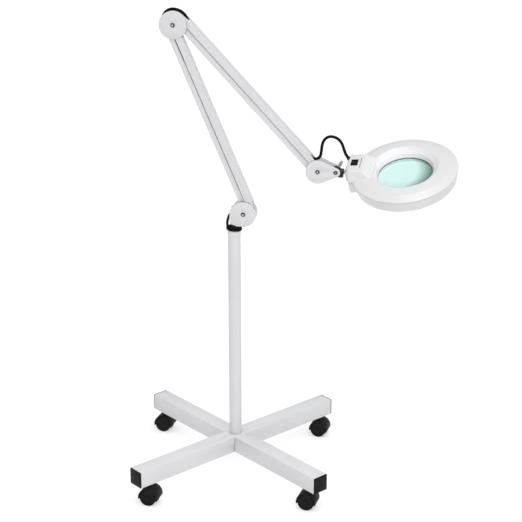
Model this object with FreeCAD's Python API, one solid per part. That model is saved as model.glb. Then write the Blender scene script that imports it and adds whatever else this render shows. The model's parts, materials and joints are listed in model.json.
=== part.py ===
"""Rolling magnifying lamp: a steel cross base on twin-wheel castors, a post, a spring-balanced
parallelogram arm and a round lamp head with a glass magnifying lens and a circular tube.

Frame: origin on the floor under the post, +Z up, the arm folds in the XZ plane, +X towards the head.
"""
import FreeCAD, Part
import math
import os
from FreeCAD import Matrix, Placement, Rotation, Vector as V

# ---------------------------------------------------------------- driving dimensions, millimetres
BEAM = 40.0                # square tube of the cross base
BEAM_WALL = 2.0
BEAM_LENGTH = 610.0
BEAM_UNDERSIDE = 54.0
BASE_TURN = 49.0           # degrees from +X to the first beam
CAP_FLANGE = 3.0
CAP_DEPTH = 15.0
FIT = 0.05                 # radial clearance of a running fit
GAP = 0.3                  # clearance between pieces that move past each other

CASTOR_AT = 275.0          # castor pivot from the centre of the cross
CASTOR_SWIVEL = 10.0       # degrees: how far the wheels stand turned from the arm plane
WHEEL_R = 20.0
WHEEL_W = 15.5
WHEEL_SPACE = 10.0         # web of the castor body between its two wheels
CASTOR_TRAIL = 8.0
AXLE_R = 2.5
STEM_R = 5.0

POST_R = 15.0
POST_WALL = 1.5
POST_TOP = 610.0
BUSH_R = 15.8
BUSH_TOP = 620.0
NECK_R = 6.0

PLATE_OUT = 15.5           # outer faces of the knuckle plates, from the arm plane
PLATE_T = 2.5
PIN_R = 2.5
SCREW_HEAD_R = 4.0
SCREW_RECESS = 1.2         # depth of the recess that a screw head or nut sits in
PIN_BLIND = 1.5            # how far a rail's pivot pin goes into each plate
RAIL_PITCH = 455.0         # pivot to pivot, the same for all four rails
RAIL_END = 22.0            # stretch next to a pivot where a rail tapers to its eye
EYE_R = 6.0
SHEET = 1.5
OUTER_RAIL_W = 24.4
OUTER_RAIL_BACK = 8.75     # from a rail's pivot line to its closed back
OUTER_RAIL_LIP = 6.6       # and to the lips of its open side
INNER_RAIL_W = 19.0
INNER_RAIL_BACK = 7.0
INNER_RAIL_LIP = 5.8
SPRING_LEVEL = 3.0         # the balance spring's line above its rail's pivot line
LOWER_DROP = 67.4          # degrees below +X of the line from elbow to shoulder
UPPER_DROP = 47.4          # degrees below +X of the line from elbow to wrist
PIVOT_SPACING = 18.0       # between the two pivots of one arm on one plate
LOWER_SKEW = 38.9          # degrees between that spacing and square to the arm, at rest
UPPER_SKEW = -38.9

SHOULDER = V(23.4, 0, 664.8)
SHOULDER_R = 30.0
SHOULDER_PIVOT = V(20.7, 0, 8.1)       # outer rail's pivot from the shoulder screw
ELBOW_R = 32.0
ELBOW_LOWER_PIVOT = V(3.4, 0, -11.6)
ELBOW_UPPER_PIVOT = V(15.2, 0, 21.6)
WRIST_R = 27.5
WRIST_PIVOT = V(-7.3, 0, 16.3)
WRIST_REACH = 41.5                     # wrist screw to head tilt bolt
TILT_EYE_R = 10.5

HEAD_FROM_TILT = V(157.5, -14.6, 12.8)  # ring centre from the tilt bolt
HEAD_ROLL = 20.0
HEAD_PITCH = 8.0
HEAD_YAW = -8.0
STEM_DROP = 6.0                         # degrees below +X of the head's stem
STEM_PIN_R = 4.0

SHELL = 2.5
RING_R = 121.5             # widest, at the seam between the two shells
RING_BOTTOM_R = 115.5
RING_BOTTOM_Z = -30.0
CREST_R = 78.5
CREST_Z = 10.0
BORE_R = 62.5              # the seat over the lens; the bore widens upwards from it
BORE_TOP_R = 66.0
SEAT_Z = -11.5
LENS_R = 66.5
LENS_EDGE_TOP = -12.5
LENS_EDGE = 3.0
LENS_CURVE = 333.0         # both faces
SEAM_Z = -3.0
OPEN_R = 108.0             # light opening in the underside
TUBE_RING_R = 90.0
TUBE_R = 14.5
TUBE_Z = -19.5
NECK_X = -132.0            # left end of the head's neck
NECK_BULGE_R = 120.0       # the neck's left face bulges, seen from above
NECK_HALF = 46.0
NECK_TOP = 23.0
NECK_TOP_HALF = 32.5
NECK_TOP_END = -93.0       # right end of the neck's flat top
NECK_BOTTOM = -28.0
NECK_SIDE_TOP = 4.0

CORD_R = 3.0               # mains lead
ARM_CORD_R = 3.4           # sleeved cord through the arm to the head
COIL_R = 33.0
COIL_HALF = 6.4
COIL_CENTRE = V(-23, 143, 0)
PLUG_LEVEL = 13.1          # underside of the plug, which lies on the coil
PLUG_H = 15.0
PLUG_AT = 150.0            # degrees round the coil to the end of the plug's strain relief
PLUG_AT_R = 34.0
PLUG_TURN = 275.0          # degrees from +X to the way the blades point
STRAIN_RELIEF = 22.0

ROCKER_PIVOT_Z = NECK_TOP - 0.5
ROCKER_PIN_R = 1.0
SWITCH = (-113.5, 0.0)                  # centre on the neck's flat top
SWITCH_HALF = (6.8, 9.6)                # of the switch body
SWITCH_WALL = 0.9
GROMMET = V(-129.6, 25.0, 12.5)         # where the cord enters the neck's left face
GROMMET_DIR = V(-0.5, 0, 0.866)         # outwards
GROMMET_R = ARM_CORD_R + 1.5

UP = V(0, 0, 1)
ACROSS = V(0, 1, 0)


# ---------------------------------------------------------------- helpers
def box(low, high):
    return Part.makeBox(high[0] - low[0], high[1] - low[1], high[2] - low[2], V(*low))


def rod(start, end, radius):
    """A solid cylinder from one point to another."""
    run = end - start
    return Part.makeCylinder(radius, run.Length, start, run)


def across(centre, radius, half):
    """A cylinder along Y, half its length each side of the arm plane."""
    return rod(V(centre.x, -half, centre.z), V(centre.x, half, centre.z), radius)


def slab(points, low, high):
    """A flat piece: an outline of (x, z) points, from y = low to y = high."""
    corners = [V(x, low, z) for x, z in points]
    face = Part.Face(Part.makePolygon(corners + corners[:1]))
    return face.extrude(V(0, high - low, 0))


def revolved(points):
    """A ring about Z from an outline of (r, z) points."""
    corners = [V(r, 0, z) for r, z in points]
    face = Part.Face(Part.makePolygon(corners + corners[:1]))
    return face.revolve(V(0, 0, 0), UP, 360)


def fused(shapes):
    whole = shapes[0].multiFuse(shapes[1:]) if len(shapes) > 1 else shapes[0]
    return whole.removeSplitter()


def turned(shape, axis, degrees, centre=V(0, 0, 0)):
    moved = shape.copy()
    moved.rotate(centre, axis, degrees)
    return moved


def shifted(shape, offset):
    moved = shape.copy()
    moved.translate(offset)
    return moved


def route_tube(points, radius, name):
    """A cord along straight runs joined by tangent arcs, each as large as its two runs allow."""
    edges = []
    radii = []
    start = points[0]
    for before, corner, after in zip(points, points[1:], points[2:]):
        into = (corner - before).normalize()
        out = (after - corner).normalize()
        turn = into.getAngle(out)
        setback = 0.45 * min((corner - before).Length, (after - corner).Length)
        radii.append(setback / math.tan(turn / 2))
        arc_start = corner - into * setback
        arc_end = corner + out * setback
        chord_to_corner = (arc_start + arc_end) * 0.5 - corner
        centre_distance = math.hypot(radii[-1], setback)
        inward = V(chord_to_corner).normalize()
        middle = corner + inward * (centre_distance - radii[-1])
        edges.append(Part.LineSegment(start, arc_start).toShape())
        edges.append(Part.Arc(arc_start, middle, arc_end).toShape())
        start = arc_end
    edges.append(Part.LineSegment(start, points[-1]).toShape())
    wire = Part.Wire(edges)
    profile = Part.Wire(Part.makeCircle(radius, points[0], points[1] - points[0]))
    tube = wire.makePipeShell([profile], True, True)
    expected = math.pi * radius ** 2 * wire.Length
    print("%s: length %.0f, radii %s, volume ratio %.3f"
          % (name, wire.Length, " ".join("%.0f" % r for r in radii), tube.Volume / expected))
    return tube


def pivot_offset(drop, skew):
    """From an arm's inner pivot to its outer pivot on the same plate."""
    angle = math.radians(90 - drop - skew)
    return V(math.cos(angle), 0, math.sin(angle)) * PIVOT_SPACING


def along(drop):
    angle = math.radians(drop)
    return V(math.cos(angle), 0, -math.sin(angle))


# ---------------------------------------------------------------- places worked out from the above
LOWER_FAR = SHOULDER + SHOULDER_PIVOT
LOWER_NEAR = LOWER_FAR - along(LOWER_DROP) * RAIL_PITCH
ELBOW = LOWER_NEAR - ELBOW_LOWER_PIVOT
UPPER_NEAR = ELBOW + ELBOW_UPPER_PIVOT
UPPER_FAR = UPPER_NEAR + along(UPPER_DROP) * RAIL_PITCH
WRIST = UPPER_FAR - WRIST_PIVOT
TILT = WRIST + V(WRIST_REACH, 0, 0)
STEM_DIR = V(math.cos(math.radians(STEM_DROP)), 0, -math.sin(math.radians(STEM_DROP)))
RING_CENTRE = TILT + HEAD_FROM_TILT
HEAD_TURN = (Rotation(V(0, 1, 0), -HEAD_PITCH)
             .multiply(Rotation(V(1, 0, 0), HEAD_ROLL))
             .multiply(Rotation(UP, HEAD_YAW)))
HEAD_PLACE = Placement(RING_CENTRE, HEAD_TURN)
BEAM_TOP = BEAM_UNDERSIDE + BEAM
HALF = BEAM / 2
AXLE_DIR = V(math.sin(math.radians(CASTOR_SWIVEL)), math.cos(math.radians(CASTOR_SWIVEL)), 0)
TRAIL_DIR = V(AXLE_DIR.y, -AXLE_DIR.x, 0)
TILT_IN_HEAD = HEAD_PLACE.inverse().multVec(TILT)
STEM_IN_HEAD = HEAD_TURN.inverted().multVec(STEM_DIR)

parts = {}


# ---------------------------------------------------------------- base
def base_beam(half_cut_low, half_cut_high):
    """A square tube along X, halved at its middle between the two heights given."""
    inner = HALF - BEAM_WALL
    half_length = BEAM_LENGTH / 2
    tube = box((-half_length, -HALF, BEAM_UNDERSIDE), (half_length, HALF, BEAM_TOP))
    tube = tube.cut(box((-half_length, -inner, BEAM_UNDERSIDE + BEAM_WALL),
                        (half_length, inner, BEAM_TOP - BEAM_WALL)))
    tube = tube.cut(box((-HALF, -HALF, half_cut_low), (HALF, HALF, half_cut_high)))
    tube = tube.cut(rod(V(0, 0, BEAM_UNDERSIDE - 1), V(0, 0, BEAM_TOP + 1), 5.2))
    for end in (-1, 1):
        tube = tube.cut(rod(V(end * CASTOR_AT, 0, BEAM_UNDERSIDE - 1),
                            V(end * CASTOR_AT, 0, BEAM_UNDERSIDE + BEAM_WALL + 1), STEM_R + 2.5))
    return tube


def end_cap():
    """A plug for a tube end at +X: a flange outside the tube and a hollow spigot inside it."""
    end = BEAM_LENGTH / 2
    spigot = HALF - BEAM_WALL - 0.2
    middle = BEAM_UNDERSIDE + HALF
    flange = box((end, -HALF, BEAM_UNDERSIDE), (end + CAP_FLANGE, HALF, BEAM_TOP))
    plug = box((end - CAP_DEPTH, -spigot, middle - spigot), (end, spigot, middle + spigot))
    hollow = spigot - 2.5
    plug = plug.cut(box((end - CAP_DEPTH, -hollow, middle - hollow), (end, hollow, middle + hollow)))
    return flange.fuse(plug)


def castor_spots():
    """Name and pivot of each castor, going round the cross from the front left."""
    names = ("front_left", "front_right", "back_right", "back_left")
    for step, name in enumerate(names):
        angle = math.radians(BASE_TURN + 180 + 90 * step)
        yield name, V(math.cos(angle) * CASTOR_AT, math.sin(angle) * CASTOR_AT, 0)


def base():
    middle = BEAM_UNDERSIDE + HALF
    parts["through_beam"] = turned(base_beam(BEAM_UNDERSIDE, middle), UP, BASE_TURN)
    parts["cross_beam"] = turned(base_beam(middle, BEAM_TOP), UP, BASE_TURN - 90)
    caps = [turned(end_cap(), UP, BASE_TURN + 90 * step) for step in range(4)]
    parts["beam_end_caps"] = Part.makeCompound(caps)
    sockets = []
    for _, spot in castor_spots():
        foot = spot + V(0, 0, BEAM_UNDERSIDE)
        flange = rod(foot - V(0, 0, 1.5), foot, STEM_R + 5)
        sleeve = rod(foot, foot + V(0, 0, 26), STEM_R + 2.3)
        bore = rod(foot - V(0, 0, 2), foot + V(0, 0, 24), STEM_R + FIT)
        sockets.append(flange.fuse(sleeve).cut(bore))
    parts["castor_sockets"] = Part.makeCompound(sockets)


def castor(name, spot):
    """One twin-wheel castor: a hooded body, a steel stem and axle, and a wheel on each side."""
    trail = CASTOR_TRAIL if spot.x * spot.y > 0 else -CASTOR_TRAIL
    hub = spot + TRAIL_DIR * trail + V(0, 0, WHEEL_R)
    half_web = WHEEL_SPACE / 2
    outside = half_web + GAP + WHEEL_W + GAP
    hood_r = WHEEL_R + 3.5

    def on_axle(radius, low, high):
        return rod(hub + AXLE_DIR * low, hub + AXLE_DIR * high, radius)

    hood = on_axle(hood_r, -outside + 1, outside - 1).cut(on_axle(WHEEL_R + 1.2, -outside, outside))
    web = on_axle(hood_r - 1, -half_web, half_web)
    size = 60
    below = Part.makeBox(2 * size, 2 * size, size, hub + V(-size, -size, -size - 4))
    floor_cut = Part.makeBox(2 * size, 2 * size, size, hub + V(-size, -size, -size - WHEEL_R + 6))
    boss = rod(spot + V(0, 0, WHEEL_R + 10), spot + V(0, 0, BEAM_UNDERSIDE - 4), STEM_R + 3.5)
    wheel_room = on_axle(WHEEL_R + 1.2, half_web, outside).fuse(
        on_axle(WHEEL_R + 1.2, -outside, -half_web))
    body = hood.cut(below).fuse(web.cut(floor_cut)).fuse(boss.cut(wheel_room))
    body = body.cut(on_axle(AXLE_R, -outside, outside))
    stem_foot = spot + V(0, 0, 2 * WHEEL_R + 1.5)
    stem_bore = rod(stem_foot, spot + V(0, 0, BEAM_UNDERSIDE), STEM_R)
    parts["castor_body_" + name] = body.cut(stem_bore).removeSplitter()
    stem = rod(stem_foot, spot + V(0, 0, BEAM_UNDERSIDE + 22), STEM_R)
    axle = on_axle(AXLE_R, -outside + 2, outside - 2)
    parts["castor_pins_" + name] = Part.makeCompound([stem, axle])
    for side, label in ((-1, "front"), (1, "back")):
        inner = side * (half_web + GAP)
        outer = side * (half_web + GAP + WHEEL_W)
        wheel = on_axle(WHEEL_R, inner, outer)
        recess = on_axle(WHEEL_R - 4, outer - side * 2.5, outer + side)
        boss_r = AXLE_R + 3
        recess = recess.cut(on_axle(boss_r, inner, outer))
        wheel = wheel.cut(recess).cut(on_axle(AXLE_R + FIT, inner - side, outer + side))
        parts["castor_wheel_%s_%s" % (name, label)] = wheel


def post():
    bolt_r = 5.0
    plug_top = BEAM_TOP + 30
    tube = rod(V(0, 0, BEAM_TOP), V(0, 0, POST_TOP), POST_R)
    tube = tube.cut(rod(V(0, 0, plug_top), V(0, 0, POST_TOP), POST_R - POST_WALL))
    parts["post_tube"] = tube.cut(rod(V(0, 0, BEAM_TOP), V(0, 0, plug_top - 5), bolt_r))
    under = V(0, 0, BEAM_UNDERSIDE)
    shank = rod(under - V(0, 0, 2), V(0, 0, plug_top - 8), bolt_r)
    washer = rod(under - V(0, 0, 2), under, 14)
    head = rod(under - V(0, 0, 9), under - V(0, 0, 2), 8.5)
    parts["hub_bolt"] = fused([shank, washer, head])
    inner_r = POST_R - POST_WALL
    bush = rod(V(0, 0, POST_TOP - 45), V(0, 0, POST_TOP), inner_r)
    bush = bush.fuse(rod(V(0, 0, POST_TOP), V(0, 0, BUSH_TOP), BUSH_R))
    parts["post_bush"] = bush.cut(rod(V(0, 0, POST_TOP - 50), V(0, 0, BUSH_TOP), NECK_R + FIT))


# ---------------------------------------------------------------- arm
def plate_pair(name, outline, holes, screws):
    """Front and back plates of a knuckle: an outline solid, blind pin holes and screw holes."""
    inner = PLATE_OUT - PLATE_T
    for label, side in (("front", -1), ("back", 1)):
        low, high = sorted((side * inner, side * PLATE_OUT))
        plate = outline(low, high)
        for hole in holes:
            bottom = V(hole.x, side * (inner + PIN_BLIND), hole.z)
            plate = plate.cut(rod(V(hole.x, 0, hole.z), bottom, PIN_R))
        for screw in screws:
            plate = plate.cut(across(screw, PIN_R, PLATE_OUT + 1))
            rim = V(screw.x, side * (PLATE_OUT - SCREW_RECESS), screw.z)
            plate = plate.cut(rod(rim, V(screw.x, side * PLATE_OUT, screw.z), SCREW_HEAD_R + 0.8))
        parts["%s_%s_plate" % (name, label)] = plate


def plate_screw(centre):
    """A screw through both plates: a domed head in the front recess and a nut in the back one."""
    seat = PLATE_OUT - SCREW_RECESS
    shank = across(centre, PIN_R, seat)
    head = rod(V(centre.x, -seat - 2.2, centre.z), V(centre.x, -seat, centre.z), SCREW_HEAD_R)
    nut = rod(V(centre.x, seat, centre.z), V(centre.x, seat + 2.4, centre.z), SCREW_HEAD_R)
    return fused([shank, head, nut])


def pivot_pin(centre):
    return across(centre, PIN_R, PLATE_OUT - PLATE_T + PIN_BLIND)


def pivots(outer, drop, skew):
    """The outer pivot of an arm and the inner one beside it."""
    return [outer, outer - pivot_offset(drop, skew)]


def shoulder():
    pins = pivots(LOWER_FAR, LOWER_DROP, LOWER_SKEW)

    def outline(low, high):
        disc = rod(V(SHOULDER.x, low, SHOULDER.z), V(SHOULDER.x, high, SHOULDER.z), SHOULDER_R)
        lug = slab([(SHOULDER.x + x, SHOULDER.z + z) for x, z in
                    ((-32, 12), (-32, -18), (-27, -25), (-15, -29.5), (0, -29.5), (0, 12))], low, high)
        return disc.fuse(lug).removeSplitter()

    plate_pair("shoulder", outline, pins, [SHOULDER])
    inner = PLATE_OUT - PLATE_T
    block = box((-8, -inner, SHOULDER.z - 26), (8, inner, SHOULDER.z - 8))
    neck = rod(V(0, 0, POST_TOP - 40), V(0, 0, SHOULDER.z - 26), NECK_R)
    collar = rod(V(0, 0, BUSH_TOP + 0.2), V(0, 0, BUSH_TOP + 2), NECK_R + 2.5)
    parts["shoulder_neck"] = fused([block, neck, collar])
    parts["shoulder_fasteners"] = Part.makeCompound(
        [plate_screw(SHOULDER)] + [pivot_pin(pin) for pin in pins])


def elbow():
    pins = (pivots(LOWER_NEAR, LOWER_DROP, LOWER_SKEW)
            + pivots(UPPER_NEAR, UPPER_DROP, UPPER_SKEW))

    def outline(low, high):
        return rod(V(ELBOW.x, low, ELBOW.z), V(ELBOW.x, high, ELBOW.z), ELBOW_R)

    plate_pair("elbow", outline, pins, [ELBOW])
    parts["elbow_fasteners"] = Part.makeCompound(
        [plate_screw(ELBOW)] + [pivot_pin(pin) for pin in pins])


def wrist():
    pins = pivots(UPPER_FAR, UPPER_DROP, UPPER_SKEW)
    spread = (WRIST_R - TILT_EYE_R) / WRIST_REACH
    tangent = V(spread, 0, math.sqrt(1 - spread ** 2))

    def outline(low, high):
        """Two discs joined by their outer tangents."""
        big = rod(V(WRIST.x, low, WRIST.z), V(WRIST.x, high, WRIST.z), WRIST_R)
        small = rod(V(TILT.x, low, TILT.z), V(TILT.x, high, TILT.z), TILT_EYE_R)
        corners = [(WRIST.x + tangent.x * WRIST_R, WRIST.z + tangent.z * WRIST_R),
                   (TILT.x + tangent.x * TILT_EYE_R, TILT.z + tangent.z * TILT_EYE_R),
                   (TILT.x + tangent.x * TILT_EYE_R, TILT.z - tangent.z * TILT_EYE_R),
                   (WRIST.x + tangent.x * WRIST_R, WRIST.z - tangent.z * WRIST_R)]
        return fused([big, small, slab(corners, low, high)])

    plate_pair("wrist", outline, pins, [WRIST, TILT])
    bolt_end = PLATE_OUT + 9
    seat = PLATE_OUT - SCREW_RECESS
    bolt = fused([rod(V(TILT.x, -seat, TILT.z), V(TILT.x, bolt_end, TILT.z), PIN_R),
                  rod(V(TILT.x, -seat - 2.2, TILT.z), V(TILT.x, -seat, TILT.z), SCREW_HEAD_R)])
    parts["wrist_fasteners"] = Part.makeCompound(
        [plate_screw(WRIST), bolt] + [pivot_pin(pin) for pin in pins])


def rail_side(bottom, top, low, high):
    """One flange of a rail in its own frame: pivots at x = 0 and x = RAIL_PITCH, tapered ends."""
    far = RAIL_PITCH - RAIL_END
    points = [(0, -EYE_R), (RAIL_END, bottom), (far, bottom), (RAIL_PITCH, -EYE_R),
              (RAIL_PITCH, EYE_R), (far, top), (RAIL_END, top), (0, EYE_R)]
    side = slab(points, low, high)
    for end in (0, RAIL_PITCH):
        side = side.fuse(rod(V(end, low, 0), V(end, high, 0), EYE_R))
    for end in (0, RAIL_PITCH):
        side = side.cut(rod(V(end, low, 0), V(end, high, 0), PIN_R + FIT))
    return side


def rail(width, back, lip, back_side):
    """A channel of folded sheet: two flanges, and a web along its back, up (1) or down (-1)."""
    edge = width / 2
    bottom, top = sorted((back_side * back, -back_side * lip))
    flanges = [rail_side(bottom, top, -edge, -edge + SHEET), rail_side(bottom, top, edge - SHEET, edge)]
    low, high = sorted((back_side * back, back_side * (back - SHEET)))
    web = box((RAIL_END, -edge, low), (RAIL_PITCH - RAIL_END, edge, high))
    return fused(flanges + [web])


def spring():
    """The balance spring in an outer rail, drawn as its envelope, with the two rods that hold it."""
    first, last, hold = 60.0, 250.0, 330.0
    coil_r, bore_r, hook_r, rod_r = 4.0, 2.8, 1.2, 1.5
    near_rod = first - 14
    room = OUTER_RAIL_W / 2 - SHEET

    def lengthwise(start, end, radius):
        return rod(V(start, 0, SPRING_LEVEL), V(end, 0, SPRING_LEVEL), radius)

    coil = lengthwise(first, last, coil_r).cut(lengthwise(first, last, bore_r))
    ends = [lengthwise(near_rod, first + 2, bore_r), lengthwise(last - 2, last + 1, bore_r),
            lengthwise(last - 2, hold, hook_r)]
    rods = [rod(V(x, -room, SPRING_LEVEL), V(x, room, SPRING_LEVEL), rod_r) for x in (near_rod, hold)]
    return fused([coil] + ends + rods)


def arm(name, near, drop, skew):
    """The outer and inner rails of one arm and the spring inside it."""
    inner_near = near - pivot_offset(drop, skew)
    pieces = (("%s_outer_rail", rail(OUTER_RAIL_W, OUTER_RAIL_BACK, OUTER_RAIL_LIP, 1), near),
              ("%s_inner_rail", rail(INNER_RAIL_W, INNER_RAIL_BACK, INNER_RAIL_LIP, -1), inner_near),
              ("%s_spring", spring(), near))
    for label, shape, pivot in pieces:
        parts[label % name] = shifted(turned(shape, ACROSS, drop), pivot)


# ---------------------------------------------------------------- head joint
def knuckle():
    """The dark casting between the wrist plates, its sleeve for the head's stem, and the clamp lever."""
    inner = PLATE_OUT - PLATE_T - 0.4
    eye_r, sleeve_r, sleeve_end, socket_from = 9.0, 8.0, 18.0, 4.5
    eye = across(TILT, eye_r, inner)
    sleeve = rod(TILT, TILT + STEM_DIR * sleeve_end, sleeve_r)
    jaw_half = 7.0
    jaw = slab([(TILT.x + x, TILT.z + z) for x, z in ((-5, -6), (16.5, -7), (16.5, -13.4), (-3, -12.6))],
               -jaw_half, jaw_half)
    body = fused([eye, sleeve, jaw]).cut(across(TILT, PIN_R + FIT, inner))
    socket = rod(TILT + STEM_DIR * socket_from, TILT + STEM_DIR * (sleeve_end + 1), STEM_PIN_R + FIT)
    parts["knuckle"] = body.cut(socket).removeSplitter()
    low, high = PLATE_OUT + GAP, PLATE_OUT + 8
    hub = rod(V(TILT.x, low, TILT.z), V(TILT.x, high, TILT.z), 6)
    reach, half = 18.5, 3.8
    tip = V(12.0, 0, 17.5)
    angle = math.degrees(math.atan2(tip.z, tip.x))
    inset = 1.5
    blade = slab([(0, -half), (reach, -half), (reach, half), (0, half)], low + inset, high - inset)
    blade = blade.fuse(rod(V(reach, low + inset, 0), V(reach, high - inset, 0), half))
    lever = hub.fuse(shifted(turned(blade, ACROSS, -angle), TILT))
    bore = rod(V(TILT.x, low - 1, TILT.z), V(TILT.x, high + 1, TILT.z), PIN_R + FIT)
    parts["tilt_lever"] = lever.cut(bore).removeSplitter()


# ---------------------------------------------------------------- head, in the ring's own frame
def ring_outer():
    return revolved([(BORE_R, SEAT_Z), (BORE_TOP_R, 0), (CREST_R, CREST_Z), (RING_R, 0),
                     (RING_R, SEAM_Z), (RING_BOTTOM_R, RING_BOTTOM_Z), (OPEN_R, RING_BOTTOM_Z),
                     (OPEN_R, SEAT_Z)])


def ring_inner():
    return revolved([(BORE_R + SHELL, LENS_EDGE_TOP), (BORE_R + SHELL, SEAT_Z),
                     (BORE_TOP_R + SHELL, -1.4), (CREST_R, CREST_Z - 2.7),
                     (RING_R - SHELL, -2.2), (RING_R - SHELL, SEAM_Z),
                     (RING_BOTTOM_R - SHELL, RING_BOTTOM_Z + SHELL),
                     (OPEN_R, RING_BOTTOM_Z + SHELL), (OPEN_R, LENS_EDGE_TOP)])


def neck_block(inset):
    """The neck's solid block, or its hollow when inset by the shell's thickness."""
    end = -CREST_R + 9
    half, top_half = NECK_HALF - inset, NECK_TOP_HALF - inset * 0.6
    top, bottom = NECK_TOP - inset, NECK_BOTTOM + inset
    left = NECK_X + inset
    profile = [(-half, bottom), (half, bottom), (half, NECK_SIDE_TOP), (top_half, top),
               (-top_half, top), (-half, NECK_SIDE_TOP)]
    corners = [V(left, y, z) for y, z in profile]
    prism = Part.Face(Part.makePolygon(corners + corners[:1])).extrude(V(end - left, 0, 0))
    side = slab([(left, bottom), (end, bottom), (end, CREST_Z - 2 - inset), (NECK_TOP_END + inset, top),
                 (left + 4, top), (left, top - 3)], -60, 60)
    bulge = rod(V(NECK_X + NECK_BULGE_R, 0, -60), V(NECK_X + NECK_BULGE_R, 0, 60),
                NECK_BULGE_R - inset)
    return prism.common(side).common(bulge)


def head_shells():
    """The two shells of the head, split at the seam; the bore's wall belongs to the upper one."""
    outer = ring_outer().fuse(neck_block(0))
    inside = ring_inner().fuse(neck_block(SHELL))
    open_under = rod(V(0, 0, RING_BOTTOM_Z - 1), V(0, 0, SEAT_Z), OPEN_R)
    bore = revolved([(0, LENS_EDGE_TOP), (BORE_R, LENS_EDGE_TOP), (BORE_R, SEAT_Z), (BORE_TOP_R, 0),
                     (BORE_TOP_R, 40), (0, 40)])
    wall = revolved([(BORE_R, SEAT_Z), (BORE_R + SHELL, SEAT_Z), (BORE_TOP_R + SHELL, -1.4),
                     (BORE_TOP_R, 0)])
    shell = outer.cut(inside).cut(open_under).cut(bore).fuse(wall)
    reach = 200
    above = Part.makeBox(2 * reach, 2 * reach, reach, V(-reach, -reach, SEAM_Z))
    below = Part.makeBox(2 * reach, 2 * reach, reach, V(-reach, -reach, SEAM_Z - reach))
    stem_hole = rod(TILT_IN_HEAD, TILT_IN_HEAD + STEM_IN_HEAD * 45, STEM_PIN_R)
    x, y = SWITCH
    half_x, half_y = SWITCH_HALF
    window = box((x - half_x, y - half_y, 15), (x + half_x, y + half_y, 30))
    groove = box((-99.8, -20, NECK_TOP - 2), (-98.4, 18, NECK_TOP + 1))
    cord_hole = rod(GROMMET - GROMMET_DIR * 10, GROMMET + GROMMET_DIR * 12, GROMMET_R)
    upper = shell.common(above).fuse(wall).cut(stem_hole).cut(window).cut(groove).cut(cord_hole)
    lower = shell.cut(wall).common(below).cut(stem_hole)
    parts["head_upper_shell"] = max(upper.Solids, key=lambda s: s.Volume)
    parts["head_lower_shell"] = max(lower.Solids, key=lambda s: s.Volume)


def lens():
    """A biconvex lens with a plain rim, and the ring that holds it up against the upper shell."""
    top, bottom = LENS_EDGE_TOP, LENS_EDGE_TOP - LENS_EDGE
    drop = math.sqrt(LENS_CURVE ** 2 - LENS_R ** 2)
    blank = rod(V(0, 0, bottom - 10), V(0, 0, top + 10), LENS_R)
    upper_ball = Part.makeSphere(LENS_CURVE, V(0, 0, top - drop))
    lower_ball = Part.makeSphere(LENS_CURVE, V(0, 0, bottom + drop))
    parts["lens"] = blank.common(upper_ball).common(lower_ball)
    inner, outer = LENS_R + 0.3, LENS_R + 2.5
    ring_top, ring_foot = top + 3.0, RING_BOTTOM_Z - 1
    parts["lens_ring"] = revolved([
        (BORE_R, bottom - 3.4), (BORE_R, bottom - 1.4), (inner, bottom - 0.9), (inner, ring_top),
        (outer, ring_top), (outer, ring_foot), (inner, ring_foot), (inner, bottom - 3.4)])


def lamp():
    """The circular tube with its base at the neck, its three clips and the reflector above it."""
    centre = V(0, 0, TUBE_Z)
    gap = 26.0             # degrees of the ring that the glass leaves free
    overlap = 8.0          # degrees of glass that the base covers, both ends together

    def ring_piece(radius, degrees):
        """A stretch of torus round the tube's ring, its middle at +X."""
        return turned(Part.makeTorus(TUBE_RING_R, radius, centre, UP, 0, 360, degrees), UP, -degrees / 2)

    glass = ring_piece(TUBE_R, 360 - gap)
    parts["circular_tube"] = glass.cut(ring_piece(TUBE_R - 1, 360 - gap))
    parts["tube_base"] = turned(ring_piece(TUBE_R + 0.8, gap + overlap), UP, 180).cut(glass)
    inner, outer, sheet = LENS_R + 3, RING_R - 5, 0.8
    top = [(inner, -2.6), (CREST_R, 5.2), (outer, -4.0)]
    under = [(r, z - sheet) for r, z in reversed(top)]
    neck_room = neck_block(0).common(box((-200, -60, -40), (-95, 60, 40)))
    parts["reflector"] = revolved(top + under).cut(neck_room)
    over_reflector = revolved([(outer, 30), (inner, 30)] + list(reversed(under)))
    clip_arc, stud_r = 4.0, 2.0
    band = ring_piece(TUBE_R + 0.9, clip_arc).cut(ring_piece(TUBE_R, 360))
    band = band.cut(box((0, -50, TUBE_Z - 30), (150, 50, TUBE_Z - 8)))
    stud = rod(V(TUBE_RING_R, 0, TUBE_Z + TUBE_R + 0.5), V(TUBE_RING_R, 0, 1.2), stud_r)
    clip = band.fuse(stud.cut(over_reflector))
    parts["tube_clips"] = Part.makeCompound([turned(clip, UP, degrees) for degrees in (0, 120, 240)])


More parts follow.
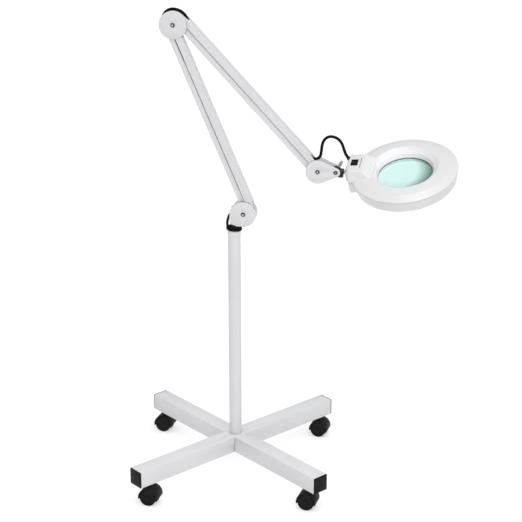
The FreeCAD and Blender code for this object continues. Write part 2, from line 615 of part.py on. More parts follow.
def neck_parts():
    """The ballast, the rocker switch, the stem with its flange, the cord's grommet and the screws."""
    parts["ballast"] = box((-122, -33, NECK_BOTTOM + SHELL), (-107, 33, -11))
    x, y = SWITCH
    half_x, half_y = SWITCH_HALF
    rim = 1.2
    frame = box((x - half_x - rim, y - half_y - rim, NECK_TOP),
                (x + half_x + rim, y + half_y + rim, NECK_TOP + rim))
    body = box((x - half_x, y - half_y, NECK_TOP - 12), (x + half_x, y + half_y, NECK_TOP))
    clear_x, clear_y = half_x - SWITCH_WALL, half_y - SWITCH_WALL
    opening = box((x - clear_x, y - clear_y, NECK_TOP - 10), (x + clear_x, y + clear_y, NECK_TOP + 2))

    def trunnion(radius):
        return rod(V(x - half_x + 0.3, y, ROCKER_PIVOT_Z), V(x + half_x - 0.3, y, ROCKER_PIVOT_Z), radius)

    parts["switch_frame"] = frame.fuse(body).cut(opening).cut(trunnion(ROCKER_PIN_R + FIT)).removeSplitter()
    rocker = slab([(-7.6, 3.4), (0, 1.4), (8.3, 0.3), (7, -3), (-7, -3)], GAP - clear_x, clear_x - GAP)
    rocker = shifted(turned(rocker, UP, 90), V(x, y, ROCKER_PIVOT_Z))
    parts["switch_rocker"] = rocker.fuse(trunnion(ROCKER_PIN_R)).removeSplitter()
    bulge = rod(V(NECK_X + NECK_BULGE_R, 0, -60), V(NECK_X + NECK_BULGE_R, 0, 60), NECK_BULGE_R)
    side = TILT_IN_HEAD.y
    flange = box((NECK_X - 3, side - 13, -15), (NECK_X + 2, side + 13, 11)).cut(bulge)
    stem = rod(TILT_IN_HEAD + STEM_IN_HEAD * 5.5, TILT_IN_HEAD + STEM_IN_HEAD * 38, STEM_PIN_R)
    parts["head_stem"] = flange.fuse(stem).removeSplitter()
    grommet = rod(GROMMET - GROMMET_DIR * 8, GROMMET + GROMMET_DIR * 7, GROMMET_R)
    bore = rod(GROMMET - GROMMET_DIR * 9, GROMMET + GROMMET_DIR * 8, ARM_CORD_R + FIT)
    parts["cord_grommet"] = grommet.cut(bore)
    screw_ring, screw_r = RING_BOTTOM_R - 5, 2.4
    screw = rod(V(screw_ring, 0, RING_BOTTOM_Z - 1.4), V(screw_ring, 0, RING_BOTTOM_Z), screw_r)
    parts["shell_screws"] = Part.makeCompound(
        [turned(screw, UP, degrees) for degrees in (0, 60, 120, 240, 300)])


def head():
    before = set(parts)
    head_shells()
    lens()
    lamp()
    neck_parts()
    for name in set(parts) - before:
        parts[name].Placement = HEAD_PLACE.multiply(parts[name].Placement)


# ---------------------------------------------------------------- cords
def mains_lead():
    """From the lower arm out of the shoulder, round the neck, down behind the post to its coil."""
    points = [V(*p) for p in ((15, 0, 684), (5, 0, 676), (-8, 0, 665), (-14.5, 0, 650), (-16.5, -1, 640))]
    turns, steps, loop_r, top, pitch = 1.75, 21, 16.6, 633.0, 6.1
    for step in range(1, steps):
        turn = turns * step / steps
        angle = math.pi + 2 * math.pi * turn
        points.append(V(loop_r * math.cos(angle), loop_r * math.sin(angle), top - pitch * turn))
    points += [V(*p) for p in ((4.5, 19, 621), (-0.5, 20.5, 606), (-2, 21.5, 575), (-3.8, 23, 515),
                               (-4.6, 24.4, 440), (-4.8, 25.6, 365), (-4.5, 26.8, 290),
                               (-3.9, 28.2, 220), (-3.1, 30.3, 160), (-2, 37, 118), (-1, 54, 84),
                               (1, 76, 50), (5, 95, 22), (11, 112, 6), (18.6, 131, 3.3))]
    parts["mains_lead"] = route_tube(points, CORD_R, "mains_lead")


def coil_and_plug():
    """The spare lead, drawn as the envelope of its coil on the floor, and the plug lying on it."""
    foot, top = 0.2, 13.0
    ring = revolved([(COIL_R - COIL_HALF, foot), (COIL_R + COIL_HALF, foot),
                     (COIL_R + COIL_HALF, top), (COIL_R - COIL_HALF, top)])
    parts["lead_coil"] = shifted(ring, COIL_CENTRE)
    half_length, half_width, blade_length = 16.0, 12.5, 17.0
    body = box((-half_length, -half_width, PLUG_LEVEL), (half_length, half_width, PLUG_LEVEL + PLUG_H))
    axis = PLUG_LEVEL + PLUG_H / 2
    tail = Part.makeCone(5.6, CORD_R + 0.8, STRAIN_RELIEF, V(-half_length, 0, axis), V(-1, 0, 0))
    blades = [box((half_length, y - 0.8, axis - 3.3), (half_length + blade_length, y + 0.8, axis + 3.3))
              for y in (-6.4, 6.4)]
    plug = shifted(fused([body, tail] + blades), V(half_length + STRAIN_RELIEF, 0, 0))
    at = math.radians(PLUG_AT)
    tail_end = COIL_CENTRE + V(math.cos(at), math.sin(at), 0) * PLUG_AT_R
    parts["mains_plug"] = shifted(turned(plug, UP, PLUG_TURN), tail_end)


def on_rail(near, drop, reach, rise):
    """A point in the arm plane from a rail's elbow pivot: along the rail, and square to it."""
    run = along(drop)
    return near + run * reach + V(-run.z, 0, run.x) * rise


def held_cords():
    """The cord over the elbow and the loop from the upper arm to the head."""
    lower_inner = LOWER_NEAR - pivot_offset(LOWER_DROP, LOWER_SKEW)
    points = [on_rail(lower_inner, LOWER_DROP, reach, rise)
              for reach, rise in ((86, 0.5), (60, 1), (38, -0.2), (21, -1.4), (3, -7.2))]
    points += [ELBOW + V(*p) for p in ((-25.5, 0, 3), (-25.5, 0, 17), (-17.5, 0, 29), (-5, 0, 34.5),
                                       (9.5, 0, 33), (22.5, 0, 26), (30.5, 0, 14.5))]
    points += [on_rail(UPPER_NEAR, UPPER_DROP, reach, rise) for reach, rise in ((25, 1.8), (42, 0.5))]
    parts["elbow_cord"] = route_tube(points, ARM_CORD_R, "elbow_cord")
    points = [V(*p) for p in (
        (140, 0, 845), (160, 0, 823.5), (176, 0, 808), (189, 0, 800.8), (200.9, 0, 806.4), (203.5, 0, 820.5),
        (204.3, 1, 834.4), (208.5, 3, 847), (217.5, 6, 853.9), (227.8, 9, 854.1), (240, 12, 848.8),
        (248.8, 15, 837.5), (253, 18, 824))]
    points += [HEAD_PLACE.multVec(GROMMET + GROMMET_DIR * out) for out in (16, 5.5)]
    parts["head_cord"] = route_tube(points, ARM_CORD_R, "head_cord")


# ---------------------------------------------------------------- build and save
base()
for castor_name, castor_spot in castor_spots():
    castor(castor_name, castor_spot)
post()
shoulder()
elbow()
wrist()
arm("lower", LOWER_NEAR, LOWER_DROP, LOWER_SKEW)
arm("upper", UPPER_NEAR, UPPER_DROP, UPPER_SKEW)
knuckle()
head()
mains_lead()
coil_and_plug()
held_cords()

os.makedirs("parts", exist_ok=True)
for node, shape in parts.items():
    shape.exportStep("parts/%s.step" % node)
print(len(parts), "nodes")
print("ROCKER", HEAD_PLACE.multVec(V(*SWITCH, ROCKER_PIVOT_Z)), HEAD_TURN.multVec(V(1, 0, 0)))
for label, point in (("SHOULDER", SHOULDER), ("LOWER_FAR", LOWER_FAR), ("LOWER_NEAR", LOWER_NEAR),
                     ("ELBOW", ELBOW), ("UPPER_NEAR", UPPER_NEAR), ("UPPER_FAR", UPPER_FAR),
                     ("WRIST", WRIST), ("TILT", TILT), ("RING_CENTRE", RING_CENTRE)):
    print(label, "(%.2f, %.2f, %.2f)" % tuple(point))
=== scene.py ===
"""The magnifying lamp's looks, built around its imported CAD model.

Blender works in metres. Numbers in millimetres are multiplied by MM where they are used.
"""
import json
import math

import bmesh
import bpy
from mathutils import Euler, Matrix, Vector


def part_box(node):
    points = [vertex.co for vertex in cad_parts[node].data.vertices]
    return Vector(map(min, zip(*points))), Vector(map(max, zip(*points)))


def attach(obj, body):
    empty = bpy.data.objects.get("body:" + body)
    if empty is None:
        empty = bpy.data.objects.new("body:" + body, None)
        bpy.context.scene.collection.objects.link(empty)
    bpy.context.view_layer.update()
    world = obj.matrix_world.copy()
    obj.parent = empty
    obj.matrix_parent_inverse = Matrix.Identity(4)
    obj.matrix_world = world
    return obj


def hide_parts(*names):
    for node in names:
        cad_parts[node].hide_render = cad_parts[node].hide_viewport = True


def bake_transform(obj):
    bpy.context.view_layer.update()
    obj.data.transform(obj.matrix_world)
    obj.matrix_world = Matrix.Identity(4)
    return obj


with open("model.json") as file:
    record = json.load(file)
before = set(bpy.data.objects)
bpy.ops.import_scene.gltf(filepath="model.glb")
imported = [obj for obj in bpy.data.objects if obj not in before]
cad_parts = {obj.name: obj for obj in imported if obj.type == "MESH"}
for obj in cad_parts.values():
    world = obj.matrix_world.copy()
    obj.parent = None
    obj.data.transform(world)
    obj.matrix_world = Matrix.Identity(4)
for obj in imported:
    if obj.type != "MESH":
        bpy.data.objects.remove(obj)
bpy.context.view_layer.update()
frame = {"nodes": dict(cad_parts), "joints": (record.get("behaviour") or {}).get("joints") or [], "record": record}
NODES = frame["nodes"]
JOINTS = {joint["name"]: joint for joint in frame["joints"]}
MM = 0.001

# ---------------------------------------------------------------- places taken from the frame
TILT = Vector(JOINTS["head_tilt"]["pos_m"])
HEAD_ROLL, HEAD_PITCH, HEAD_YAW = (math.radians(angle) for angle in (20, 8, -8))
HEAD_TURN = (Matrix.Rotation(-HEAD_PITCH, 4, "Y") @ Matrix.Rotation(HEAD_ROLL, 4, "X")
             @ Matrix.Rotation(HEAD_YAW, 4, "Z"))
LENS_MIDDLE_Z = -14.0 * MM             # in the ring's own frame


def node_centre(node):
    low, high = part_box(node)
    return (low + high) / 2


RING_CENTRE = node_centre("lens") - HEAD_TURN.to_3x3() @ Vector((0, 0, LENS_MIDDLE_Z))
HEAD_FRAME = Matrix.Translation(RING_CENTRE) @ HEAD_TURN


# ---------------------------------------------------------------- camera
def make_camera():
    """From the front and a little to the right, above the lamp, looking 20 degrees down on it."""
    data = bpy.data.cameras.new("camera")
    camera = bpy.data.objects.new("camera", data)
    bpy.context.scene.collection.objects.link(camera)
    camera.location = (0.5247, -3.2582, 1.7404)
    yaw, pitch = -0.138, 0.348
    camera.rotation_euler = Euler((math.pi / 2 - pitch, 0, -yaw), "XYZ")
    data.sensor_width = 36
    data.lens = 102.17
    data.shift_x = -0.0069
    data.clip_end = 60
    bpy.context.scene.camera = camera


make_camera()


# ---------------------------------------------------------------- node-material helpers
NOISE_LOW, NOISE_HIGH = 0.3, 0.7       # the span of a noise that most ramps spread over


class Shader:
    """A small helper that adds nodes to a new material and joins them."""

    def __init__(self, name):
        self.material = bpy.data.materials.new(name)
        self.material.use_nodes = True
        self.tree = self.material.node_tree
        self.main = self.tree.nodes["Principled BSDF"]
        coordinates = self.add("ShaderNodeTexCoord")
        self.place = coordinates.outputs["Object"]

    def add(self, kind, **inputs):
        node = self.tree.nodes.new(kind)
        for name, value in inputs.items():
            self.put(node.inputs[name.replace("_", " ")], value)
        return node

    def put(self, socket, value):
        if isinstance(value, bpy.types.NodeSocket):
            self.tree.links.new(value, socket)
        else:
            socket.default_value = value

    def set(self, **inputs):
        for name, value in inputs.items():
            self.put(self.main.inputs[name.replace("_", " ")], value)

    def noise(self, scale, detail, roughness=0.5, stretch=None):
        place = self.place
        if stretch:
            mapping = self.add("ShaderNodeMapping", Vector=place, Scale=stretch)
            place = mapping.outputs["Vector"]
        node = self.add("ShaderNodeTexNoise", Vector=place, Scale=scale, Detail=detail,
                        Roughness=roughness)
        return node.outputs["Fac"]

    def ramp(self, value, stops):
        node = self.add("ShaderNodeValToRGB", Fac=value)
        ramp = node.color_ramp
        while len(ramp.elements) < len(stops):
            ramp.elements.new(0.5)
        for element, (position, colour) in zip(ramp.elements, stops):
            element.position = position
            element.color = colour
        return node.outputs["Color"]

    def mottle(self, noise, dark, light):
        """Two colours, mixed by a noise."""
        return self.ramp(noise, ((NOISE_LOW, dark), (NOISE_HIGH, light)))

    def range(self, value, low, high, start=NOISE_LOW, end=NOISE_HIGH):
        node = self.add("ShaderNodeMapRange", Value=value)
        node.inputs["From Min"].default_value = start
        node.inputs["From Max"].default_value = end
        node.inputs["To Min"].default_value = low
        node.inputs["To Max"].default_value = high
        return node.outputs["Result"]

    def painted_crevice_shade(self, colour, reach, dark):
        """Painted shade: the colour, darkened where less than about half of the surround within reach is open, as
        shade falls in crevices.
        """
        openness = self.add("ShaderNodeAmbientOcclusion", Distance=reach)
        openness.samples = 8
        deep, clear = 0.2, 0.6
        shade = self.ramp(openness.outputs["AO"], ((deep, grey(dark)), (clear, grey(1.0))))
        mix = self.add("ShaderNodeMix")
        mix.data_type = "RGBA"
        mix.blend_type = "MULTIPLY"
        colour_a, colour_b, colour_out = mix.inputs[6], mix.inputs[7], mix.outputs[2]
        self.put(mix.inputs["Factor"], 1.0)
        self.put(colour_a, colour)
        self.put(colour_b, shade)
        return colour_out

    def bump(self, height, distance, strength):
        node = self.add("ShaderNodeBump", Height=height, Distance=distance, Strength=strength)
        return node.outputs["Normal"]


def grey(value, blue=0.0):
    """A grey, with its blue raised by this share."""
    return (value, value, value * (1 + blue), 1)


def powder_coat():
    """Satin white powder coat on steel: faint orange peel and an uneven tone, with painted shade that darkens its
    crevices.
    """
    s = Shader("powder_coat_white")
    tone = s.mottle(s.noise(14, 3), grey(0.625, 0.02), grey(0.65, 0.02))
    # Painted shade: crevices, slots and joints within 14 mm are darkened almost to black.
    s.set(Base_Color=s.painted_crevice_shade(tone, reach=14 * MM, dark=0.03))
    s.set(Roughness=s.range(s.noise(60, 2), 0.36, 0.48), Specular_IOR_Level=0.4)
    s.set(Normal=s.bump(s.noise(900, 2), 0.00004, 0.5))
    return s.material


def moulded_white():
    """White injection-moulded plastic, a little glossier than the paint, with softer painted shade in its
    crevices.
    """
    s = Shader("moulded_plastic_white")
    tone = s.mottle(s.noise(9, 3), grey(0.64, 0.01), grey(0.665, 0.01))
    # Painted shade: crevices within 4 mm are darkened to a quarter.
    s.set(Base_Color=s.painted_crevice_shade(tone, reach=4 * MM, dark=0.25))
    s.set(Roughness=s.range(s.noise(40, 2), 0.30, 0.40), Specular_IOR_Level=0.4)
    s.set(Normal=s.bump(s.noise(1500, 2), 0.00002, 0.5))
    return s.material


def moulded_black():
    """Black plastic with a fine eroded texture and an uneven tone."""
    s = Shader("moulded_plastic_black")
    s.set(Base_Color=s.ramp(s.noise(35, 5), ((0.35, grey(0.006)), (0.75, grey(0.013)))))
    s.set(Roughness=s.range(s.noise(120, 3), 0.38, 0.6), Specular_IOR_Level=0.11)
    s.set(Normal=s.bump(s.noise(2500, 2), 0.00003, 0.6))
    return s.material


def cord_sheath():
    """Smooth black flexible sheath."""
    s = Shader("cord_sheath_black")
    s.set(Base_Color=s.mottle(s.noise(45, 3), grey(0.003), grey(0.007)))
    s.set(Roughness=s.range(s.noise(200, 2), 0.42, 0.58), Specular_IOR_Level=0.05)
    s.set(Normal=s.bump(s.noise(1200, 2), 0.00003, 0.4))
    return s.material


def metal(name, dark, light, rough, scale, stretch=None):
    """Bare metal with drawn or tumbled marks."""
    s = Shader(name)
    marks = s.noise(scale, 4, 0.6, stretch)
    s.set(Base_Color=s.mottle(marks, grey(dark), grey(light, 0.01)), Metallic=1.0)
    s.set(Roughness=s.range(marks, rough * 0.8, rough * 1.3))
    s.set(Normal=s.bump(marks, 0.00003, 0.4))
    return s.material


# Painted shade: the lens's colour goes from pale green to near black with distance from a place left of its
# middle.
LENS_PAINTED_SHADE_END = 0.106                 # how far from the bright place the gradient ends
LENS_PAINTED_SHADE_STOPS = ((0.0, (0.70, 0.93, 0.90, 1)), (0.66, (0.66, 0.91, 0.87, 1)),
               (0.82, (0.36, 0.55, 0.49, 1)), (0.98, (0.08, 0.16, 0.13, 1)))


def lens_glass():
    """Clear pale green glass, with painted shade: a gradient fixed in the glass darkens it towards its right edge.
    """
    s = Shader("lens_glass_green")
    # Painted shade starts at this place and darkens the glass away from it.
    painted_shade_origin = HEAD_FRAME @ Vector((-44 * MM, 8 * MM, LENS_MIDDLE_Z))
    away = s.add("ShaderNodeVectorMath")
    away.operation = "DISTANCE"
    s.put(away.inputs[0], s.place)
    s.put(away.inputs[1], painted_shade_origin)
    painted_shade_share = s.range(away.outputs["Value"], 0.0, 1.0, start=0.0, end=LENS_PAINTED_SHADE_END)
    s.set(Base_Color=s.ramp(painted_shade_share, LENS_PAINTED_SHADE_STOPS))
    s.set(Transmission_Weight=1.0, IOR=1.45)
    s.set(Roughness=s.range(s.noise(30, 2), 0.0, 0.012))
    return s.material


def milky_tube():
    """The phosphor-coated glass of the circular tube, unlit."""
    s = Shader("tube_phosphor_white")
    s.set(Base_Color=s.mottle(s.noise(25, 3), grey(0.84), grey(0.9)))
    s.set(Roughness=s.range(s.noise(60, 2), 0.12, 0.22), Coat_Weight=0.6, Coat_Roughness=0.05)
    return s.material


MATERIALS = {
    "white_paint": powder_coat(),
    "white_plastic": moulded_white(),
    "black_plastic": moulded_black(),
    "black_cord": cord_sheath(),
    "lens_glass": lens_glass(),
    "tube_glass": milky_tube(),
    "dark_zinc": metal("cast_zinc_dark", 0.03, 0.07, 0.5, 300),
    "reflector_aluminium": metal("reflector_sheet", 0.75, 0.88, 0.35, 90),
    "ballast_iron": metal("laminated_iron", 0.18, 0.3, 0.5, 400, (1, 1, 12)),
    "spring_steel": metal("spring_wire", 0.45, 0.62, 0.3, 500),
    "bright_steel": metal("zinc_plate", 0.50, 0.60, 0.30, 120),
}
NODE_SLOT = {part["node"]: part["material_slot"] for part in frame["record"]["subparts"]}
NODE_BODY = {node: body for body, nodes in frame["record"]["behaviour"]["bodies"].items()
             for node in nodes}


def dress(piece, slot):
    """Give a piece the material made for the record's slot."""
    piece.data.materials.clear()
    piece.data.materials.append(MATERIALS[slot])


for node_name, node_object in NODES.items():
    dress(node_object, NODE_SLOT[node_name])


# ---------------------------------------------------------------- mesh helpers
def add_mesh(name, mesh):
    piece = bpy.data.objects.new(name, mesh)
    bpy.context.scene.collection.objects.link(piece)
    return piece


def add_solid(name, work):
    """A new piece from a bmesh, which is freed."""
    mesh = bpy.data.meshes.new(name)
    work.to_mesh(mesh)
    work.free()
    return add_mesh(name, mesh)


def apply_modifiers(piece):
    """Replace the piece's mesh by what its modifiers make of it."""
    bpy.context.view_layer.update()
    graph = bpy.context.evaluated_depsgraph_get()
    mesh = bpy.data.meshes.new_from_object(piece.evaluated_get(graph))
    piece.modifiers.clear()
    piece.data = mesh


def smooth(piece, degrees):
    """Smooth shading except at edges sharper than this."""
    piece.data.polygons.foreach_set("use_smooth", [True] * len(piece.data.polygons))
    piece.data.set_sharp_from_angle(angle=math.radians(degrees))


def soften(node, width):
    """A copy of a CAD node with its hard edges rounded, which stands for it."""
    mesh = NODES[node].data.copy()
    piece = add_mesh(node + "_finish", mesh)
    work = bmesh.new()
    work.from_mesh(mesh)
    bmesh.ops.remove_doubles(work, verts=work.verts, dist=0.002 * MM)
    bmesh.ops.dissolve_limit(work, angle_limit=math.radians(0.5), verts=work.verts, edges=work.edges,
                             use_dissolve_boundaries=False)
    work.to_mesh(mesh)
    work.free()
    bevel = piece.modifiers.new("bevel", "BEVEL")
    bevel.width = width
    bevel.segments = 2
    bevel.limit_method = "ANGLE"
    bevel.angle_limit = math.radians(40)
    bevel.harden_normals = False
    bevel.use_clamp_overlap = True
    apply_modifiers(piece)
    smooth(piece, 35)
    dress(piece, NODE_SLOT[node])
    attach(piece, NODE_BODY[node])
    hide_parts(node)
    return piece


# ---------------------------------------------------------------- cords
CORD_R = 3 * MM                        # mains lead
ARM_CORD_R = 3.4 * MM                  # sleeved cord through the arm


def nurbs_line(name, points):
    """A smooth curve with these points as its control points."""
    data = bpy.data.curves.new(name, "CURVE")
    data.dimensions = "3D"
    spline = data.splines.new("NURBS")
    spline.points.add(len(points) - 1)
    for control, point in zip(spline.points, points):
        control.co = (*point, 1)
    spline.order_u = 3
    spline.use_endpoint_u = True
    spline.resolution_u = 10
    line = bpy.data.objects.new(name, data)
    bpy.context.scene.collection.objects.link(line)
    return line


def read_line(points):
    """The places along the smooth curve through these control points."""
    line = nurbs_line("cord_line", points)
    mesh = bpy.data.meshes.new_from_object(line)
    places = [vertex.co.copy() for vertex in mesh.vertices]
    bpy.data.objects.remove(line)
    bpy.data.meshes.remove(mesh)
    return places


def tube(name, places, radius, sides=20):
    """A round tube along the places, closed at both ends."""
    work = bmesh.new()
    rings = []
    across = None
    for index, place in enumerate(places):
        before = places[max(index - 1, 0)]
        after = places[min(index + 1, len(places) - 1)]
        ahead = (after - before).normalized()
        if across is None:
            across = ahead.orthogonal().normalized()
        across = (across - ahead * across.dot(ahead)).normalized()
        other = ahead.cross(across)
        rings.append([work.verts.new(place + (across * math.cos(a) + other * math.sin(a)) * radius)
                      for a in (2 * math.pi * side / sides for side in range(sides))])
    for low, high in zip(rings, rings[1:]):
        for side in range(sides):
            nxt = (side + 1) % sides
            work.faces.new((low[side], low[nxt], high[nxt], high[side]))
    work.faces.new(list(reversed(rings[0])))
    work.faces.new(rings[-1])
    piece = add_solid(name, work)
    smooth(piece, 60)
    return piece


def cord_piece(name, places, bodies, bend=None):
    """A stretch of cord that rides on the first of its bodies, or, when a bend is given, is fixed in place in the
    world and rides on none.
    """
    piece = tube(name, places, ARM_CORD_R)
    dress(piece, "black_cord")
    if bend is None:
        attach(piece, bodies[0])
    else:
        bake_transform(piece)
    return piece


def in_mm(*points):
    return [Vector(point) * MM for point in points]


def split_at(places, *marks):
    """Cut the line at the places nearest to the marks; neighbours share the place they are cut at."""
    cuts = [min(range(len(places)), key=lambda i: (places[i] - mark).length) for mark in marks]
    edges = [0, *cuts, len(places) - 1]
    return [places[low:high + 1] for low, high in zip(edges, edges[1:])]


GROMMET = Vector((-129.6, 25, 12.5)) * MM      # where the cord enters the neck, in the ring's frame
GROMMET_DIR = Vector((-0.5, 0, 0.866))         # the way its hole faces
RAIL_LENGTH = 455.0                            # between a rail's pivots, in millimetres
LOWER_DROP, UPPER_DROP = math.radians(67.4), math.radians(47.4)        # from level, towards +X
LOWER_INNER_PIVOT = Vector(JOINTS["elbow"]["pos_m"])
UPPER_OUTER_PIVOT = Vector(JOINTS["upper_arm"]["pos_m"])
ELBOW = node_centre("elbow_front_plate")
ELBOW.y = 0


def rail_axes(drop):
    """The directions along a rail and square to it, in the arm plane."""
    run = Vector((math.cos(drop), 0, -math.sin(drop)))
    return run, Vector((-run.z, 0, run.x))


def on_rail(pivot, drop, reach, rise):
    """A point in the arm plane from a rail's elbow pivot: along the rail, and square to it."""
    run, up = rail_axes(drop)
    return pivot + (run * reach + up * rise) * MM


def elbow_cord():
    """The sleeved cord from the lower inner rail over the elbow into the upper outer rail."""
    route = [on_rail(LOWER_INNER_PIVOT, LOWER_DROP, reach, rise)
             for reach, rise in ((86, 0.5), (60, 1), (38, -0.2), (21, -1.4), (3, -7.2))]
    route += [ELBOW + point for point in in_mm(
        (-25.5, 0, 3), (-25.5, 0, 17), (-17.5, 0, 29), (-5, 0, 34.5), (9.5, 0, 33), (22.5, 0, 26),
        (30.5, 0, 14.5))]
    route += [on_rail(UPPER_OUTER_PIVOT, UPPER_DROP, reach, rise) for reach, rise in ((25, 1.8), (42, 0.5))]
    places = read_line(route)
    crown = ELBOW + Vector((-24, 0, 16)) * MM
    low, high = split_at(places, crown)
    piece = cord_piece("elbow_cord_lower", low, ("lower_inner", "elbow"), (route[2], low[-1]))
    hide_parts("elbow_cord")
    cord_piece("elbow_cord_upper", high, ("elbow", "upper_outer"),
               (ELBOW + Vector((0, 0, 34)) * MM, route[-1]))


def head_cord():
    """The sleeved cord out of the upper outer rail and in a loop over the wrist to the grommet."""
    route = in_mm((140, 0, 845), (160, 0, 823.5), (176, 0, 808), (189, 0, 800.8), (200.9, 0, 806.4),
                  (203.5, 0, 820.5), (204.3, 1, 834.4), (208.5, 3, 847), (217.5, 6, 853.9), (227.8, 9, 854.1),
                  (240, 12, 848.8), (248.8, 15, 837.5), (253, 18, 824))
    route += [HEAD_FRAME @ (GROMMET + GROMMET_DIR * out * MM) for out in (16, 5.5)]
    places = read_line(route)
    marks = in_mm((176, 0, 808), (204, 0, 829.5), (246.5, 14.5, 841.5))
    straight, bend, loop, end = split_at(places, *marks)
    piece = cord_piece("head_cord_rail", straight, ("upper_outer",))
    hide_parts("head_cord")
    cord_piece("head_cord_bend", bend, ("upper_outer", "wrist"), (Vector((183, 0, 803.5)) * MM, bend[-1]))
    cord_piece("head_cord_loop", loop, ("wrist", "knuckle"), (loop[0], loop[-1]))
    cord_piece("head_cord_end", end, ("knuckle", "head"), (end[0], end[-1]))


COIL_CENTRE = Vector((-23, 143, 0))            # on the floor behind the base, in millimetres
PLUG_TURN, PLUG_PLACE = math.radians(275), math.radians(150)
PLUG_HEADING = Vector((math.cos(PLUG_TURN), math.sin(PLUG_TURN), 0))
PLUG_TAIL = COIL_CENTRE + Vector((34 * math.cos(PLUG_PLACE), 34 * math.sin(PLUG_PLACE), 20.6))


def coil_route():
    """The spare lead wound two wide and two high: points from a few stations of angle, radius and height."""
    stations = ((22, 39.6, 3.3), (70, 36.2, 3.3), (360, 36.2, 3.3), (430, 29.9, 3.3), (720, 29.9, 3.3),
                (755, 27.8, 6.4), (790, 29.9, 9.5), (1080, 29.9, 9.5), (1150, 36.2, 9.5),
                (1430, 36.2, 9.5), (1470, 38.0, 12.6), (1510, 36.6, 15.7), (1580, 35.6, 20.2))
    points = []
    step, start_angle = 24, -16
    angle = stations[0][0]
    while angle <= stations[-1][0]:
        for (a, r, z), (b, r2, z2) in zip(stations, stations[1:]):
            if a <= angle <= b:
                share = (angle - a) / (b - a)
                radius, height = r + (r2 - r) * share, z + (z2 - z) * share
        turn = math.radians(angle + start_angle)
        points.append(COIL_CENTRE + Vector((radius * math.cos(turn), radius * math.sin(turn), height)))
        angle += step
    return points


def mains_lead():
    """The lead from the shoulder round its neck, down behind the post and into the coil and the plug."""
    route = [Vector(p) for p in ((15, 0, 684), (5, 0, 676), (-8, 0, 665), (-14.5, 0, 650), (-16.5, -1, 640))]
    turns, steps, loop_r, top, pitch = 1.75, 21, 16.6, 633.0, 6.1
    for step in range(1, steps):
        turn = turns * step / steps
        angle = math.pi + 2 * math.pi * turn
        route.append(Vector((loop_r * math.cos(angle), loop_r * math.sin(angle), top - pitch * turn)))
    route += [Vector(p) for p in (
        (4.5, 19, 621), (-0.5, 20.5, 606), (-2, 21.5, 575), (-3.8, 23, 515), (-4.6, 24.4, 440),
        (-4.8, 25.6, 365), (-4.5, 26.8, 290), (-3.9, 28.2, 220), (-3.1, 30.3, 160), (-2, 37, 118),
        (-1, 54, 84), (1, 76, 50), (5, 95, 22), (11, 112, 6), (18.6, 131, 3.3))]
    route += coil_route()
    route += [PLUG_TAIL - PLUG_HEADING * 9, PLUG_TAIL + PLUG_HEADING * 2]
    places = read_line([point * MM for point in route])
    piece = tube("mains_lead_finish", places, CORD_R)
    dress(piece, "black_cord")
    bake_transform(piece)
    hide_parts("mains_lead", "lead_coil")


# ---------------------------------------------------------------- lathe and moulding
def turned_rows(work, outline, segments):
    """The outline's (r, z) points in millimetres, set out at each step round the Z axis."""
    rows = []
    for step in range(segments):
        angle = 2 * math.pi * step / segments
        rows.append([work.verts.new((r * math.cos(angle) * MM, r * math.sin(angle) * MM, z * MM))
                     for r, z in outline])
    return rows


def lathe(name, outline):
    """A ring: a closed outline of (r, z) points in millimetres, turned about the Z axis."""
    work = bmesh.new()
    rows = turned_rows(work, outline, 160)
    for row, following in zip(rows, rows[1:] + rows[:1]):
        for index in range(len(outline)):
            nxt = (index + 1) % len(outline)
            work.faces.new((row[index], following[index], following[nxt], row[nxt]))
    bmesh.ops.recalc_face_normals(work, faces=work.faces)
    return add_solid(name, work)


def disc_solid(name, outline, segments=160):
    """As lathe, for an open outline that starts and ends on the axis."""
    work = bmesh.new()
    first = work.verts.new((0, 0, outline[0][1] * MM))
    last = work.verts.new((0, 0, outline[-1][1] * MM))
    rows = turned_rows(work, outline[1:-1], segments)
    for row, following in zip(rows, rows[1:] + rows[:1]):
        work.faces.new((first, following[0], row[0]))
        for index in range(len(row) - 1):
            work.faces.new((row[index], following[index], following[index + 1], row[index + 1]))
        work.faces.new((last, row[-1], following[-1]))
    bmesh.ops.recalc_face_normals(work, faces=work.faces)
    return add_solid(name, work)


def hull(name, corners):
    """The convex solid round some corners, in millimetres."""
    work = bmesh.new()
    for corner in corners:
        work.verts.new(Vector(corner) * MM)
    bmesh.ops.convex_hull(work, input=work.verts)
    return add_solid(name, work)


def block(name, low, high):
    return hull(name, [(x, y, z) for x in (low[0], high[0]) for y in (low[1], high[1])
                       for z in (low[2], high[2])])


def join(name, solids):
    """Several meshes as one, without merging their surfaces."""
    work = bmesh.new()
    for solid in solids:
        work.from_mesh(solid.data)
    for solid in solids:
        bpy.data.objects.remove(solid)
    return add_solid(name, work)


def mould(piece, voxel, rounds, cuts):
    """Merge the piece's overlapping solids, round its edges and corners a little, and cut it."""
    remesh = piece.modifiers.new("remesh", "REMESH")
    remesh.mode = "VOXEL"
    remesh.voxel_size = voxel
    relax = piece.modifiers.new("relax", "SMOOTH")
    relax.factor = 0.5
    relax.iterations = rounds
    apply_modifiers(piece)
    for cut in cuts:
        boolean = piece.modifiers.new("cut", "BOOLEAN")
        boolean.operation = "DIFFERENCE"
        boolean.object = cut
        boolean.solver = "EXACT"
    apply_modifiers(piece)
    for cut in cuts:
        bpy.data.objects.remove(cut)
    smooth(piece, 40)
    return piece


# ---------------------------------------------------------------- head
# In millimetres, in the ring's own frame.
BORE_R, BORE_TOP_R, SEAT_Z, CREST_R, CREST_Z = 62.5, 66.0, -11.5, 78.5, 10.0
RING_R, RING_BOTTOM_R, RING_BOTTOM_Z, SEAM_Z = 121.5, 115.5, -30.0, -3.0
OPEN_R, WALL = 108.0, 2.5
NECK_X, NECK_BULGE_R, NECK_HALF, NECK_TOP, NECK_TOP_HALF = -132.0, 120.0, 46.0, 23.0, 32.5
NECK_BOTTOM, NECK_SIDE_TOP, NECK_TOP_END, NECK_END = -28.0, 4.0, -93.0, -69.5


